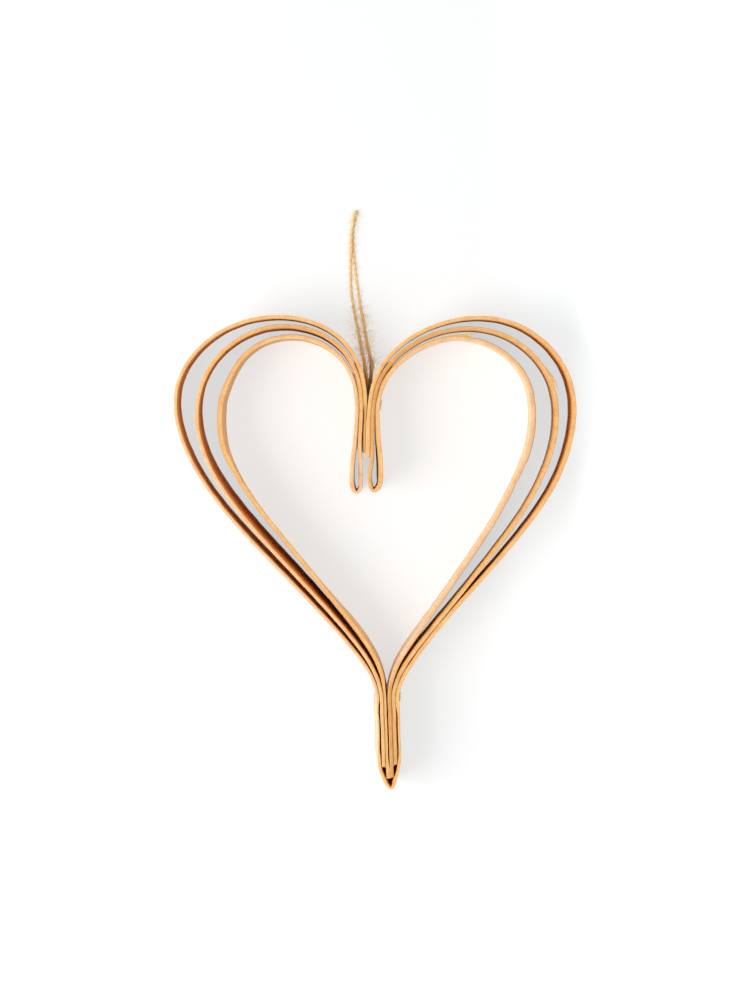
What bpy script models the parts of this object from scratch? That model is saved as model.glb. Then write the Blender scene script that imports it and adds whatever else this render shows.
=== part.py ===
"""A hanging heart bent from three thin strips of wood, lying with its strips on edge, and its twine.

Run it with: blender --background --python part.py
The frame has +X to the right and +Y up the heart as it hangs, and +Z is up from the table.
"""

import math

import bmesh
import bpy
import numpy as np

# Every size and place below is in millimetres. The meshes are made in metres.
MM = 0.001

# The whole heart, from the outer face of one lobe to that of the other
HEART_WIDTH = 160.4

# The strip that all three pieces are cut from
STRIP_WIDTH = 25.0
STRIP_THICKNESS = 1.27
LAYER_GAP = 0.29

# The wire staples
WIRE_DIAMETER = 0.6
CROWN_LENGTH = 5.0
WIRE_CLEARANCE = 0.25
LEG_SET_BACK = 0.4
STAPLE_HEIGHT = 12.5

# The twine
TWINE_DIAMETER = 1.2

# The points and heights from here to STAPLES are those of a drawing, which is scaled to the heart's width.
# This is where the middle of the heart's box lies in the drawing.
DRAWING_CENTRE = (-0.26, -0.39)

# The middle line of the notch and of the stem, as x and y on the way down
NOTCH_AXIS = ((-3.3, 57.0), (-3.6, 49.0), (-3.8, 41.0), (-3.9, 32.0))
STEM_AXIS = ((4.8, -58.0), (5.15, -67.0), (5.45, -76.0), (5.6, -82.0), (5.85, -90.0), (6.35, -94.5))
NOTCH_OPENING = 0.5

# The heights y at which the strips are known to lie packed, on the way down
NOTCH_ROWS = (57.0, 49.0, 41.0)
STEM_ROWS = (-58.0, -63.0, -69.0, -76.0)

# Where the outer strip ends in the notch, and how far down each layer lies straight in the stem
NOTCH_ENDS = {"left": 39.8, "right": 37.8}
STEM_ENDS = (
    {"left": -82.0, "right": -82.0},
    {"left": -86.4, "right": -85.4},
    {"left": -91.0, "right": -90.6},
)

# The foot of the outer strip: how far it stands from the stem's axis, as a share of the half stem, and y
FOOT_PROFILE = {
    "left": ((0.87, -87.2), (0.69, -90.0), (0.54, -92.4), (0.31, -94.1)),
    "right": ((0.80, -87.2), (0.63, -90.0), (0.38, -92.4), (0.18, -94.1)),
}
FOOT_TIP = -94.8

# How far the outer strip's back edge stands out past its front edge in the stem, on the left
STEM_SPLAY = {"left": -1.1, "right": 0.0}

# Each line of strip between the notch and the stem: x, y and lean. The lean says how far the back edge lies
# further in towards the heart's middle than the front edge.
LINES = {
    ("left", 0): (
        (-6.0, 72.7, 0.1), (-14.2, 85.6, 0.3), (-28.0, 92.75, 0.3), (-43.6, 93.85, 0.2),
        (-58.7, 89.7, 0.1), (-71.3, 80.5, 0.1), (-79.0, 67.1, 0.0), (-79.7, 55.5, 0.0),
        (-75.4, 40.4, 0.1), (-67.7, 26.6, 0.1), (-55.4, 10.9, 0.3), (-39.0, -6.55, 0.3),
        (-22.4, -23.95, 0.2), (-8.9, -39.2, 0.1), (-1.9, -49.3, 0.0),
    ),
    ("left", 1): (
        (-7.9, 72.1, 0.2), (-16.0, 83.6, 0.6), (-28.8, 89.6, 0.7), (-43.1, 89.75, 0.5),
        (-56.1, 84.15, 0.1), (-65.3, 75.1, -0.2), (-70.1, 64.6, -0.3), (-71.35, 53.3, 0.1),
        (-68.5, 39.45, 0.6), (-61.65, 26.05, 1.1), (-52.4, 13.6, 1.3), (-36.6, -4.2, 1.4),
        (-20.2, -21.95, 1.0), (-9.5, -34.4, 0.4), (-0.3, -48.4, 0.0),
    ),
    ("left", 2): (
        (-10.0, 71.5, 0.2), (-18.0, 81.4, 0.5), (-29.8, 86.05, 0.6), (-42.6, 84.85, 0.5),
        (-53.1, 77.9, 0.4), (-58.6, 68.9, 0.4), (-61.7, 59.4, 0.4), (-62.1, 52.2, 0.4),
        (-61.4, 45.0, 0.2), (-59.3, 38.4, -0.3), (-55.35, 30.65, -0.8), (-47.1, 18.3, -1.3),
        (-32.3, -0.1, -1.4), (-17.05, -19.0, -0.9), (-6.8, -32.2, 0.0), (1.95, -47.6, 0.0),
    ),
    ("right", 0): (
        (0.4, 70.2, 0.0), (9.8, 82.4, 0.1), (23.3, 90.25, 0.1), (38.6, 93.65, 0.2),
        (54.0, 91.8, 0.2), (67.35, 84.0, 0.2), (76.5, 71.5, 0.1), (79.4, 57.5, 0.1),
        (78.3, 46.7, 0.0), (74.3, 33.4, -0.2), (66.8, 19.55, -0.4), (57.3, 6.75, -0.5),
        (41.7, -11.45, -0.6), (25.85, -29.6, -0.3), (13.8, -45.8, 0.0),
    ),
    ("right", 1): (
        (2.1, 69.5, 0.1), (11.45, 80.5, 0.2), (24.4, 87.45, 0.2), (38.85, 89.4, 0.1),
        (52.2, 86.3, 0.0), (62.8, 78.9, -0.1), (69.85, 68.5, -0.2), (72.4, 56.45, -0.2),
        (70.9, 42.7, -0.4), (65.9, 29.05, -0.7), (58.5, 15.8, -0.8), (49.35, 3.1, -0.9),
        (34.6, -15.9, -0.7), (19.4, -34.8, -0.2), (10.1, -48.4, 0.0),
    ),
    ("right", 2): (
        (3.9, 68.7, 0.1), (13.05, 78.65, 0.3), (25.3, 84.7, 0.3), (33.5, 85.8, 0.2),
        (46.0, 82.8, 0.0), (51.9, 79.2, -0.1), (57.0, 74.2, -0.1), (60.5, 68.4, -0.2),
        (62.9, 55.5, -0.2), (60.9, 40.6, -0.3), (55.4, 27.5, -0.5), (48.7, 14.8, -0.6),
        (41.1, 2.6, -0.6), (33.0, -9.3, -0.6), (24.8, -21.3, -0.4), (16.7, -33.0, -0.1),
        (7.9, -47.4, 0.0),
    ),
}

# The fold that joins the middle line to the inner line below the notch: how far it stands from the middle
# line's leg, on the side away from the notch, y and lean
HAIRPINS = {
    "left": (
        (-0.55, 33.0, 0.3), (-0.55, 28.4, 0.2), (-0.05, 25.2, 0.0), (1.2, 24.1, 0.0), (2.6, 25.5, 0.0),
        (3.1, 28.3, 0.0), (3.05, 32.3, 0.0), (2.6, 38.2, 0.0), (2.0, 45.0, 0.0), (1.7, 51.0, 0.0),
    ),
    "right": (
        (-0.3, 35.0, 0.0), (-0.8, 31.0, 0.0), (-0.6, 27.2, 0.0), (0.7, 24.8, 0.0), (2.5, 25.8, -0.1),
        (3.5, 29.0, -0.6), (3.6, 33.8, -0.8), (3.05, 40.2, -0.7), (2.3, 46.6, -0.4), (1.75, 52.6, -0.1),
    ),
}

# Where the staples sit: the line that the crown lies on, and the height y of its middle
STAPLES = {
    "notch_staple": (("right", 2), 59.2),
    "stem_staple_left": (("left", 0), -60.0),
    "stem_staple_right": (("right", 0), -59.0),
}

# The twine's route from one end in the notch, up the table, round the loop's end and back: x and y in the
# drawing, and the height above the table
TWINE_ROUTE = (
    (-3.1, 66.0, 14.3), (-3.5, 69.5, 13.6), (-4.6, 76.2, 9.6), (-6.1, 84.4, 5.0), (-7.6, 91.9, 2.0),
    (-9.0, 98.8, 0.8), (-10.0, 106.7, 0.62), (-10.2, 113.2, 0.62), (-10.1, 118.9, 0.9),
    (-9.95, 121.8, 1.55), (-9.9, 125.8, 1.92), (-9.65, 129.8, 1.92), (-9.15, 133.5, 1.92),
    (-8.4, 136.6, 1.9), (-7.55, 137.35, 1.26), (-7.6, 136.2, 0.62), (-8.5, 133.3, 0.62),
    (-9.1, 129.8, 0.62), (-9.25, 125.8, 0.62), (-9.0, 122.2, 0.62), (-8.75, 118.9, 0.62),
    (-8.0, 112.0, 0.62), (-6.8, 103.2, 0.62), (-5.6, 96.2, 0.9), (-4.4, 90.0, 2.1), (-3.5, 84.6, 4.0),
    (-2.4, 79.6, 6.6), (-1.3, 75.6, 8.8), (-1.9, 70.6, 10.6), (-2.9, 66.0, 11.4),
)

# How finely the strips and the twine are cut into straight lengths
CHORD_ERROR = 0.03
LONGEST_LENGTH = 6.0
LONGEST_TWINE_LENGTH = 2.4
SPLINE_STEP = 0.1

# Below this height the lines are kept clear of each other from the stem's axis outwards, above it from the
# outer strip inwards, and a line that is moved starts and stops moving over this length
SHOULDER = -30.0
EASING = 4.0

PITCH = STRIP_THICKNESS + LAYER_GAP
SIDES = {"left": -1.0, "right": 1.0}
DRAWN_WIDTH = max(x for x, _, _ in LINES["right", 0]) - min(x for x, _, _ in LINES["left", 0])
DRAWING_SCALE = (HEART_WIDTH - STRIP_THICKNESS) / DRAWN_WIDTH
DRAWN_PITCH = PITCH / DRAWING_SCALE


def clear_scene():
    for old in list(bpy.data.objects):
        bpy.data.objects.remove(old)


def material(name, colour, roughness, metallic=0.0):
    made = bpy.data.materials.new(name)
    made.use_nodes = True
    shader = made.node_tree.nodes["Principled BSDF"]
    shader.inputs["Base Color"].default_value = (*colour, 1.0)
    shader.inputs["Roughness"].default_value = roughness
    shader.inputs["Metallic"].default_value = metallic
    return made


def natural_spline(points, step):
    """Points at an even step along the natural cubic spline through the given ones, as a lath bends."""
    knots = np.array(points, float)
    chord = np.linalg.norm(np.diff(knots[:, :2], axis=0), axis=1)
    at = np.concatenate([[0.0], np.cumsum(chord)])
    count = len(knots)
    system = np.eye(count)
    right_side = np.zeros_like(knots)
    for i in range(1, count - 1):
        before = at[i] - at[i - 1]
        after = at[i + 1] - at[i]
        system[i, i - 1:i + 2] = before, 2.0 * (before + after), after
        slope_change = (knots[i + 1] - knots[i]) / after - (knots[i] - knots[i - 1]) / before
        right_side[i] = 6.0 * slope_change
    bend = np.linalg.solve(system, right_side)
    along = np.linspace(0.0, at[-1], max(2, round(at[-1] / step)) + 1)
    piece = np.clip(np.searchsorted(at, along, side="right") - 1, 0, count - 2)
    width = (at[piece + 1] - at[piece])[:, None]
    back = (at[piece + 1] - along)[:, None]
    ahead = (along - at[piece])[:, None]
    curve = (bend[piece] * back**3 + bend[piece + 1] * ahead**3) / (6.0 * width)
    line = (knots[piece] / width - bend[piece] * width / 6.0) * back
    return curve + line + (knots[piece + 1] / width - bend[piece + 1] * width / 6.0) * ahead


def axis_x(axis, y):
    """The x of a line down the heart at height y."""
    xs, ys = zip(*reversed(axis))
    return float(np.interp(y, ys, xs))


def in_notch(side, layer, y):
    """A point of the layer where it lies packed in the notch, the outer strip innermost."""
    away = (STRIP_THICKNESS + NOTCH_OPENING) / 2.0 / DRAWING_SCALE + layer * DRAWN_PITCH
    return (axis_x(NOTCH_AXIS, y) + SIDES[side] * away, y, 0.0)


def in_stem(side, layer, y):
    """A point of the layer where it lies packed in the stem, the outer strip outermost."""
    away = (2.5 - layer) * DRAWN_PITCH
    lean = STEM_SPLAY[side] if layer == 0 else 0.0
    return (axis_x(STEM_AXIS, y) + SIDES[side] * away, y, lean)


def course(side, layer):
    """The key points of one line from the top of the notch's packed stretch to the foot of the stem."""
    shoulder = in_stem(side, layer, STEM_ROWS[0])
    points = [in_notch(side, layer, NOTCH_ROWS[0]), *LINES[side, layer], (*shoulder[:2], shoulder[2] / 2.0)]
    points += [in_stem(side, layer, y) for y in STEM_ROWS[1:]]
    return points + [in_stem(side, layer, STEM_ENDS[layer][side])]


def outer_points():
    """The whole outer strip, from its left end over both lobes to its right end."""
    halves = {}
    for side, sign in SIDES.items():
        top = [in_notch(side, 0, y) for y in (NOTCH_ENDS[side], NOTCH_ROWS[1])]
        foot = []
        for share, y in FOOT_PROFILE[side]:
            lean = STEM_SPLAY[side] * max(0.0, share - 0.56)
            foot.append((axis_x(STEM_AXIS, y) + sign * share * 2.5 * DRAWN_PITCH, y, lean))
        halves[side] = top + course(side, 0) + foot
    tip = (axis_x(STEM_AXIS, FOOT_TIP), FOOT_TIP, 0.0)
    return halves["left"] + [tip] + halves["right"][::-1]


def folded_points(side):
    """The strip of one side: its middle line up to the notch, the fold, and its inner line back."""
    middle = course(side, 1)[::-1] + [in_notch(side, 1, y) for y in NOTCH_ROWS[1:]]
    fold = []
    for away, y, lean in HAIRPINS[side]:
        leg = in_notch(side, 1, y)[0]
        fold.append((leg + SIDES[side] * away, y, lean))
    return middle + fold + course(side, 2)


def headings(points):
    """The unit direction of the line at each of its points, and its normal to the left of that."""
    ahead = np.gradient(points[:, :2], axis=0)
    ahead /= np.linalg.norm(ahead, axis=1)[:, None]
    return ahead, np.column_stack([-ahead[:, 1], ahead[:, 0]])


def inward_sign(side, points):
    """1 where the normal to the left of the line points into the heart's lobe on that side, else -1."""
    widest = int(np.argmax(SIDES[side] * points[:, 0]))
    return -1.0 if SIDES[side] * headings(points)[1][widest, 0] > 0 else 1.0


def edges_of(side, points):
    """The front and the back edge of a line, as two lists of x and y."""
    normal = headings(points)[1]
    inward = inward_sign(side, points)
    front = points[:, :2]
    return front, front + inward * normal * points[:, 2:3]


def eased(amount):
    """Amounts along a line, spread so that they start and end softly and are nowhere less than given."""
    reach = round(EASING / SPLINE_STEP)
    widest = np.array([amount[max(0, i - reach):i + reach + 1].max() for i in range(len(amount))])
    weight = np.hanning(2 * reach + 3)[1:-1]
    return np.convolve(np.pad(widest, reach, mode="edge"), weight / weight.sum(), mode="valid")


def kept_clear(line, other, side_of_other, where):
    """The two edges of a line, moved where they come closer than a pitch to the other line's edges."""
    moved = []
    for edge, beside in zip(line, other):
        normal = side_of_other * headings(beside)[1]
        amount = np.zeros(len(edge))
        for i in np.flatnonzero(where):
            nearest = int(np.argmin(np.linalg.norm(beside - edge[i], axis=1)))
            apart = float((edge[i] - beside[nearest]) @ normal[nearest])
            if 0 < nearest < len(beside) - 1 and apart < DRAWN_PITCH:
                amount[i] = DRAWN_PITCH - apart
        own = headings(edge)[1]
        middle = len(edge) // 2
        nearest = int(np.argmin(np.linalg.norm(beside - edge[middle], axis=1)))
        own *= math.copysign(1.0, float(own[middle] @ normal[nearest]))
        moved.append(edge + own * eased(amount)[:, None])
    return moved


def kept_off_axis(side, line):
    """The edges of an inner line, kept half a pitch off the stem's axis."""
    moved = []
    for edge in line:
        limit = np.array([axis_x(STEM_AXIS, y) for y in edge[:, 1]]) + SIDES[side] * DRAWN_PITCH / 2.0
        amount = np.where(edge[:, 1] < SHOULDER, np.maximum(SIDES[side] * (limit - edge[:, 0]), 0.0), 0.0)
        result = edge.copy()
        result[:, 0] += SIDES[side] * eased(amount)
        moved.append(result)
    return moved


def stations(line, longest):
    """The indices at which the line is cut into flat lengths, closer together where it bends more."""
    ahead = headings(line)[0]
    turn = np.abs(np.cross(ahead[:-1], ahead[1:]))
    run = np.linalg.norm(np.diff(line, axis=0), axis=1)
    picked = [0]
    length = 0.0
    for i in range(1, len(line) - 1):
        length += run[i - 1]
        radius = run[i] / max(turn[i - 1:i + 1].max(), 1e-6)
        if length >= min(longest, math.sqrt(8.0 * CHORD_ERROR * radius)):
            picked.append(i)
            length = 0.0
    if len(line) - 1 - picked[-1] < 5:
        picked.pop()
    return picked + [len(line) - 1]


def centred(points):
    """Points at their real size, moved so that the middle of the heart's box is the origin."""
    moved = np.array(points, float)
    moved[:, :2] -= DRAWING_SCALE * np.array(DRAWING_CENTRE)
    return moved


def link(name, data, finish):
    made = bpy.data.objects.new(name, data)
    data.materials.append(finish)
    bpy.context.scene.collection.objects.link(made)
    return made


def strip(name, front, back, finish):
    """A strip: a ribbon from its front edge down to its back edge on the table, given its thickness."""
    picked = stations(front, LONGEST_LENGTH)
    rows = (centred(back[picked]), centred(front[picked]))
    shape = bmesh.new()
    bmesh.ops.create_grid(shape, x_segments=len(picked) - 1, y_segments=1, size=1.0)
    for index, vertex in enumerate(shape.verts):
        row, station = divmod(index, len(picked))
        x, y = rows[row][station]
        vertex.co = (x * MM, y * MM, row * STRIP_WIDTH * MM)
    mesh = bpy.data.meshes.new(name)
    shape.to_mesh(mesh)
    shape.free()
    made = link(name, mesh, finish)
    thick = made.modifiers.new("Thickness", "SOLIDIFY")
    thick.thickness = STRIP_THICKNESS * MM
    thick.offset = 0.0
    thick.use_even_offset = True
    return made


def lines_of_side(side, outer_half):
    """The edges of one side's outer, middle and inner lines, kept clear of each other."""
    folded = natural_spline(folded_points(side), SPLINE_STEP)
    fold_height = min(y for _, y, _ in HAIRPINS[side])
    in_fold = np.abs(folded[:, 0] - folded[len(folded) // 2, 0]) < STRIP_WIDTH
    fold = int(np.argmin(np.where(in_fold, np.abs(folded[:, 1] - fold_height), np.inf)))
    lines = [outer_half, folded[:fold + 1], folded[fold:]]
    inward = [inward_sign(side, line) for line in lines]
    edges = [edges_of(side, line) for line in lines]
    in_lobe = [line[:, 1] > SHOULDER for line in lines]
    in_stem_half = [~above for above in in_lobe]
    in_lobe[2][:int(np.argmax(lines[2][:, 1] > NOTCH_ROWS[1]))] = False
    for layer in (1, 2):
        edges[layer] = kept_clear(edges[layer], edges[layer - 1], inward[layer - 1], in_lobe[layer])
    edges[2] = kept_off_axis(side, edges[2])
    for layer in (1, 0):
        edges[layer] = kept_clear(edges[layer], edges[layer + 1], -inward[layer + 1], in_stem_half[layer])
    return edges


def lines_of_strips():
    """The front and back edges of all three strips, at their real size."""
    outer = natural_spline(outer_points(), SPLINE_STEP)
    tip = int(np.argmin(outer[:, 1]))
    left = lines_of_side("left", outer[:tip + 1])
    right = lines_of_side("right", outer[tip:])
    edges = {"outer_strip": [np.concatenate([left[0][k], right[0][k][1:]]) for k in (0, 1)]}
    for name, lines in (("left_strip", left), ("right_strip", right)):
        edges[name] = [np.concatenate([lines[1][k], lines[2][k][1:]]) for k in (0, 1)]
    return {name: [DRAWING_SCALE * edge for edge in both] for name, both in edges.items()}


def staple_path(edges, line, height):
    """The four corners of a staple's wire: two leg ends and the two ends of its crown between them."""
    side, layer = line
    front, back = edges["outer_strip" if layer == 0 else f"{side}_strip"]
    middle = (front + back) / 2.0
    place = in_notch(side, layer, height) if height > 0 else in_stem(side, layer, height)
    aim = DRAWING_SCALE * np.array(place[:2])
    at = int(np.argmin(np.linalg.norm(middle - aim, axis=1)))
    along = headings(middle)[0][at]
    into_stack = np.array([-along[1], along[0]])
    wanted = -SIDES[side]
    if into_stack[0] * wanted < 0:
        into_stack = -into_stack
    reach = WIRE_DIAMETER / 2.0 + LAYER_GAP + STRIP_THICKNESS / 2.0
    leg = reach + 2.0 * PITCH + STRIP_THICKNESS / 2.0 - LEG_SET_BACK
    crown = middle[at] - into_stack * reach
    path = []
    for end in (-1.0, 1.0):
        corner = crown + along * end * (CROWN_LENGTH - WIRE_DIAMETER) / 2.0
        tip = corner + into_stack * leg
        path += [tip, corner] if end < 0 else [corner, tip]
    return centred(path)


def wire(name, path, finish):
    """A bent wire: a round tube along the path's corners, closed at both ends."""
    curve = bpy.data.curves.new(name, "CURVE")
    curve.dimensions = "3D"
    curve.bevel_depth = WIRE_DIAMETER / 2.0 * MM
    curve.bevel_resolution = 2
    curve.use_fill_caps = True
    bend = curve.splines.new("POLY")
    bend.points.add(len(path) - 1)
    for point, (x, y) in zip(bend.points, path):
        point.co = (x * MM, y * MM, STAPLE_HEIGHT * MM, 1.0)
    return link(name, curve, finish)


def leg_cutter(name, path):
    """Two round bars, each a clearance larger than the staple's leg that it makes room for."""
    shape = bmesh.new()
    for tip, corner in ((path[0], path[1]), (path[3], path[2])):
        run = (tip - corner) / np.linalg.norm(tip - corner)
        start = corner - run * LAYER_GAP
        length = float(np.linalg.norm(tip - start)) + LEG_SET_BACK + LAYER_GAP / 2.0
        middle = start + run * length / 2.0
        bar = bmesh.ops.create_cone(
            shape, cap_ends=True, segments=12, depth=length * MM,
            radius1=(WIRE_DIAMETER / 2.0 + WIRE_CLEARANCE) * MM,
            radius2=(WIRE_DIAMETER / 2.0 + WIRE_CLEARANCE) * MM,
        )["verts"]
        heading = math.atan2(run[1], run[0])
        for vertex in bar:
            x, y, z = vertex.co
            vertex.co = (
                middle[0] * MM + z * math.cos(heading) - y * math.sin(heading),
                middle[1] * MM + z * math.sin(heading) + y * math.cos(heading),
                STAPLE_HEIGHT * MM - x,
            )
    mesh = bpy.data.meshes.new(name)
    shape.to_mesh(mesh)
    shape.free()
    cutter = bpy.data.objects.new(name, mesh)
    cutter.hide_render = True
    cutter.display_type = "WIRE"
    bpy.context.scene.collection.objects.link(cutter)
    return cutter


def twine(finish):
    """The twine: a plain tube along the smooth curve through its route."""
    line = natural_spline(TWINE_ROUTE, SPLINE_STEP) * (DRAWING_SCALE, DRAWING_SCALE, 1.0)
    path = centred(line)[stations(line, LONGEST_TWINE_LENGTH)]
    path[:, 2] = np.maximum(path[:, 2], TWINE_DIAMETER / 2.0)
    curve = bpy.data.curves.new("hanging_twine", "CURVE")
    curve.dimensions = "3D"
    curve.bevel_depth = TWINE_DIAMETER / 2.0 * MM
    curve.bevel_resolution = 2
    curve.use_fill_caps = True
    tube = curve.splines.new("POLY")
    tube.points.add(len(path) - 1)
    for point, (x, y, z) in zip(tube.points, path):
        point.co = (x * MM, y * MM, z * MM, 1.0)
    return link("hanging_twine", curve, finish)


def main():
    clear_scene()
    wood = material("pale_wood", (0.86, 0.58, 0.28), 0.62)
    steel = material("staple_wire", (0.62, 0.61, 0.58), 0.35, 1.0)
    fibre = material("natural_twine", (0.58, 0.38, 0.17), 0.85)
    edges = lines_of_strips()
    strips = {name: strip(name, front, back, wood) for name, (front, back) in edges.items()}
    for name, (line, height) in STAPLES.items():
        path = staple_path(edges, line, height)
        wire(name, path, steel)
        cutter = leg_cutter(f"{name}_cutter", path)
        for holed in strips.values():
            hole = holed.modifiers.new(f"{name}_holes", "BOOLEAN")
            hole.operation = "DIFFERENCE"
            hole.solver = "EXACT"
            hole.object = cutter
    twine(fibre)


main()
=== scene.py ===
"""A hanging heart bent from thin strips of wood, lying on a white table with its loop of twine.

+X is to the heart's right, +Y is up the heart as it hangs, and +Z is up from the table. The drawing and the
sizes beside it are in millimetres. The settings, the twine's hairs and all meshes are in metres.
"""

import math
import random

import bmesh
import bpy
import numpy as np
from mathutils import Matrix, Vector


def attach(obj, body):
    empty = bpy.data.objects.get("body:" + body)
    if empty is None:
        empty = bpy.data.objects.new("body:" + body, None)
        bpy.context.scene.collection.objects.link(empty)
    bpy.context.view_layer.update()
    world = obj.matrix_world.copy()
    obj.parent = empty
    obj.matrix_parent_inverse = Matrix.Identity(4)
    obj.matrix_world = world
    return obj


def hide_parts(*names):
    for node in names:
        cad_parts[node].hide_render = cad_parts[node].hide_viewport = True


bl_info = {
    "name": "Bent strip heart ornament",
    "version": (1, 0, 0),
    "blender": (4, 5, 0),
    "location": "View3D > Sidebar > Heart",
    "description": "Builds a hanging heart of bent wooden strips with staples and a loop of twine",
    "category": "Add Mesh",
}

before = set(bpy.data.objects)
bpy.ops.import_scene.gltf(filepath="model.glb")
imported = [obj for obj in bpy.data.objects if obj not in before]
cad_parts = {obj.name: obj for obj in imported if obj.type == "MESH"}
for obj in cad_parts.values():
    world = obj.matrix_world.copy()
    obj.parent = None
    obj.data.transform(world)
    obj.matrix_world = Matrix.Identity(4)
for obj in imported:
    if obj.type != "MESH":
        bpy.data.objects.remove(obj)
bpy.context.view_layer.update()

MM = 0.001
SIDES = {"left": -1.0, "right": 1.0}

# The drawing that the strips follow, in millimetres, and where the middle of the heart's box lies in it
DRAWING_CENTRE = (-0.26, -0.39)
HEART_WIDTH = 160.4
STRIP_WIDTH = 25.0
STRIP_THICKNESS = 1.27
LAYER_GAP = 0.29
NOTCH_OPENING = 0.5

# The middle line of the notch and of the stem, as x and y on the way down
NOTCH_AXIS = ((-3.3, 57.0), (-3.6, 49.0), (-3.8, 41.0), (-3.9, 32.0))
STEM_AXIS = ((4.8, -58.0), (5.15, -67.0), (5.45, -76.0), (5.6, -82.0), (5.85, -90.0), (6.35, -94.5))

# The heights y at which the strips are known to lie packed, on the way down
NOTCH_ROWS = (57.0, 49.0, 41.0)
STEM_ROWS = (-58.0, -63.0, -69.0, -76.0)

# Where the outer strip ends in the notch, and how far down each layer lies straight in the stem
NOTCH_ENDS = {"left": 39.8, "right": 37.8}
STEM_ENDS = (
    {"left": -82.0, "right": -82.0},
    {"left": -86.4, "right": -85.4},
    {"left": -91.0, "right": -90.6},
)

# The foot of the outer strip: how far it stands from the stem's axis, as a share of the half stem, y and lean
FOOT_PROFILE = {
    "left": ((0.87, -87.2, 0.1), (0.69, -90.0, 0.6), (0.54, -92.4, 0.8), (0.31, -94.1, 0.2)),
    "right": ((0.80, -87.2, 0.0), (0.63, -90.0, 0.6), (0.38, -92.4, 0.6), (0.18, -94.1, 0.1)),
}
FOOT_TIP = -94.8
STEM_SPLAY = {"left": -1.1, "right": 0.0}

# How far the outer line's packed stretch stands from the stem's axis, in pitches
STEM_REACH = 2.5

# Each line of strip between the notch and the stem: x, y and lean. The lean says how far the back edge lies
# further in towards the heart's middle than the front edge.
LINES = {
    ("left", 0): (
        (-6.0, 72.7, 0.1), (-14.2, 85.6, 0.3), (-28.0, 92.75, 0.3), (-43.6, 93.85, 0.2),
        (-58.7, 89.7, 0.1), (-71.3, 80.5, 0.1), (-79.0, 67.1, 0.0), (-79.7, 55.5, 0.0),
        (-75.4, 40.4, 0.1), (-67.7, 26.6, 0.1), (-55.4, 10.9, 0.3), (-39.0, -6.55, 0.3),
        (-22.4, -23.95, 0.2), (-8.9, -39.2, 0.1), (-1.9, -49.3, 0.0),
    ),
    ("left", 1): (
        (-7.9, 72.1, 0.2), (-16.0, 83.6, 0.6), (-28.8, 89.6, 0.7), (-43.1, 89.75, 0.5),
        (-56.1, 84.15, 0.1), (-65.3, 75.1, -0.2), (-70.1, 64.6, -0.3), (-71.35, 53.3, 0.1),
        (-68.5, 39.45, 0.6), (-61.65, 26.05, 1.1), (-52.4, 13.6, 1.3), (-36.6, -4.2, 1.4),
        (-20.2, -21.95, 1.0), (-9.5, -34.4, 0.4), (-0.3, -48.4, 0.0),
    ),
    ("left", 2): (
        (-10.0, 71.5, 0.2), (-18.0, 81.4, 0.5), (-29.8, 86.05, 0.6), (-42.6, 84.85, 0.5),
        (-53.1, 77.9, 0.4), (-58.6, 68.9, 0.4), (-61.7, 59.4, 0.4), (-62.1, 52.2, 0.4),
        (-61.4, 45.0, 0.2), (-59.3, 38.4, -0.3), (-55.35, 30.65, -0.8), (-47.1, 18.3, -1.3),
        (-32.3, -0.1, -1.4), (-17.05, -19.0, -0.9), (-6.8, -32.2, 0.0), (1.95, -47.6, 0.0),
    ),
    ("right", 0): (
        (0.4, 70.2, 0.0), (9.8, 82.4, 0.1), (23.3, 90.25, 0.1), (38.6, 93.65, 0.2),
        (54.0, 91.8, 0.2), (67.35, 84.0, 0.2), (76.5, 71.5, 0.1), (79.4, 57.5, 0.1),
        (78.3, 46.7, 0.0), (74.3, 33.4, -0.2), (66.8, 19.55, -0.4), (57.3, 6.75, -0.5),
        (41.7, -11.45, -0.6), (25.85, -29.6, -0.3), (13.8, -45.8, 0.0),
    ),
    ("right", 1): (
        (2.1, 69.5, 0.1), (11.45, 80.5, 0.2), (24.4, 87.45, 0.2), (38.85, 89.4, 0.1),
        (52.2, 86.3, 0.0), (62.8, 78.9, -0.1), (69.85, 68.5, -0.2), (72.4, 56.45, -0.2),
        (70.9, 42.7, -0.4), (65.9, 29.05, -0.7), (58.5, 15.8, -0.8), (49.35, 3.1, -0.9),
        (34.6, -15.9, -0.7), (19.4, -34.8, -0.2), (10.1, -48.4, 0.0),
    ),
    ("right", 2): (
        (3.9, 68.7, 0.1), (13.05, 78.65, 0.3), (25.3, 84.7, 0.3), (33.5, 85.8, 0.2),
        (46.0, 82.8, 0.0), (51.9, 79.2, -0.1), (57.0, 74.2, -0.1), (60.5, 68.4, -0.2),
        (62.9, 55.5, -0.2), (60.9, 40.6, -0.3), (55.4, 27.5, -0.5), (48.7, 14.8, -0.6),
        (41.1, 2.6, -0.6), (33.0, -9.3, -0.6), (24.8, -21.3, -0.4), (16.7, -33.0, -0.1),
        (7.9, -47.4, 0.0),
    ),
}

# The fold that joins the middle line to the inner line below the notch: how far it stands from the middle
# line's leg, on the side away from the notch, y and lean
HAIRPINS = {
    "left": (
        (-0.55, 33.0, 0.3), (-0.55, 28.4, 0.2), (-0.05, 25.2, 0.0), (1.2, 24.1, 0.0), (2.6, 25.5, 0.0),
        (3.1, 28.3, 0.0), (3.05, 32.3, 0.0), (2.6, 38.2, 0.0), (2.0, 45.0, 0.0), (1.7, 51.0, 0.0),
    ),
    "right": (
        (-0.3, 35.0, 0.0), (-0.8, 31.0, 0.0), (-0.6, 27.2, 0.0), (0.7, 24.8, 0.0), (2.5, 25.8, -0.1),
        (3.5, 29.0, -0.6), (3.6, 33.8, -0.8), (3.05, 40.2, -0.7), (2.3, 46.6, -0.4), (1.75, 52.6, -0.1),
    ),
}

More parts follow.
